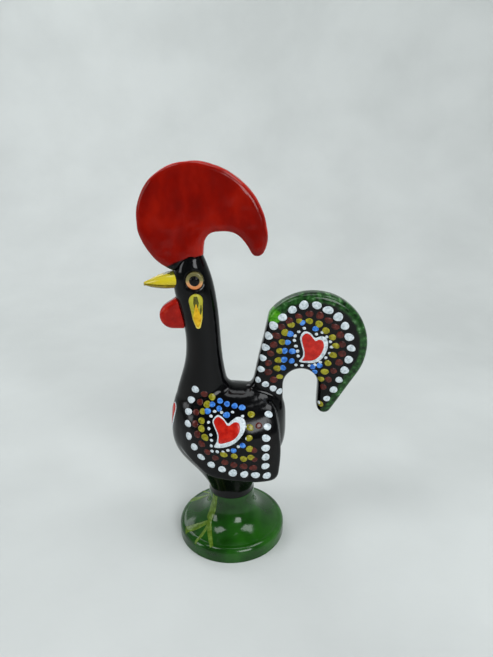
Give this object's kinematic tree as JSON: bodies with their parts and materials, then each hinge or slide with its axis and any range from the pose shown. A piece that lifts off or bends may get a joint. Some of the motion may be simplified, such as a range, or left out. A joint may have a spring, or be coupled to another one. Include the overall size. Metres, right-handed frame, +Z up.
{
  "type": "rooster ornament",
  "caption": "Painted clay rooster standing on a green bell foot, with a round hooked comb, a sickle tail and dotted wings.",
  "frame": {"origin": "centre of the foot's ring on the surface it stands on", "axes": "+Z up, beak towards -X, tail towards +X, the rooster's left side towards -Y"},
  "size_m": [0.0669, 0.035, 0.1199],
  "materials": {
    "black_glaze": "gloss",
    "green_glaze": "gloss",
    "red_glaze": "gloss",
    "yellow_glaze": "gloss",
    "orange_glaze": "gloss"
  },
  "bodies": {
    "root": {"foot_bell": "green_glaze", "body_left_half": "black_glaze", "body_right_half": "black_glaze", "left_wing": "black_glaze", "right_wing": "black_glaze", "tail": "black_glaze", "comb": "red_glaze", "wattle": "red_glaze", "beak": "yellow_glaze", "left_ear_lobe": "yellow_glaze", "right_ear_lobe": "yellow_glaze", "left_eye_ring": "orange_glaze", "right_eye_ring": "orange_glaze", "left_pupil": "black_glaze", "right_pupil": "black_glaze"}
  },
  "joints": []
}
